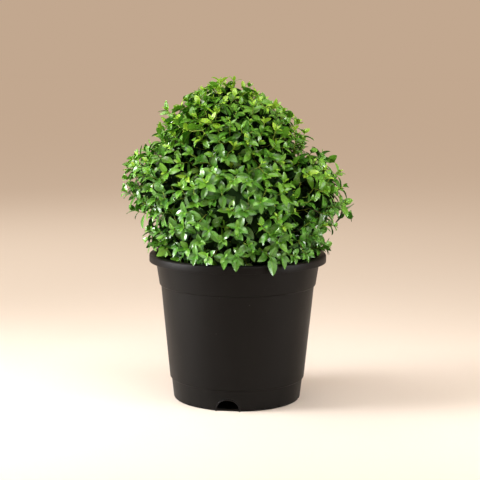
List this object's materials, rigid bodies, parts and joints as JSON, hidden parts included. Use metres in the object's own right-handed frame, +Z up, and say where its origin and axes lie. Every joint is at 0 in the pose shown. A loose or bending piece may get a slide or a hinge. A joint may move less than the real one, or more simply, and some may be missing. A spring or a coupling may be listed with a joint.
{
  "type": "potted orange jasmine ball",
  "caption": "Clipped evergreen shrub, a dense ball of small glossy leaves on a short woody stem, in a round matte black nursery pot.",
  "frame": {"origin": "on the ground, at the middle of the pot's flat underside", "axes": "+Z up along the pot's axis; the side seen in front faces -Y, +X to its right"},
  "size_m": [0.325, 0.2925, 0.457],
  "materials": {
    "pot_plastic": "matte charcoal black, moulded",
    "potting_mix": "damp crumbly bark and peat",
    "bark": "thin fissured grey-brown bark",
    "foliage": "glossy mid-green leaves with lighter young tips"
  },
  "bodies": {
    "root": {"pot": "pot_plastic", "potting_mix": "potting_mix", "trunk": "bark", "bough_upper_front": "bark", "bough_upper_back": "bark", "bough_left": "bark", "bough_right": "bark", "bough_front_left": "bark", "bough_front_right": "bark", "bough_back_left": "bark", "bough_back_right": "bark", "bough_lower_left": "bark", "bough_lower_right": "bark", "foliage_top": "foliage", "foliage_upper_front": "foliage", "foliage_upper_back": "foliage", "foliage_left": "foliage", "foliage_right": "foliage", "foliage_front_left": "foliage", "foliage_front_right": "foliage", "foliage_back_left": "foliage", "foliage_back_right": "foliage", "foliage_lower_left": "foliage", "foliage_lower_right": "foliage"}
  },
  "joints": []
}
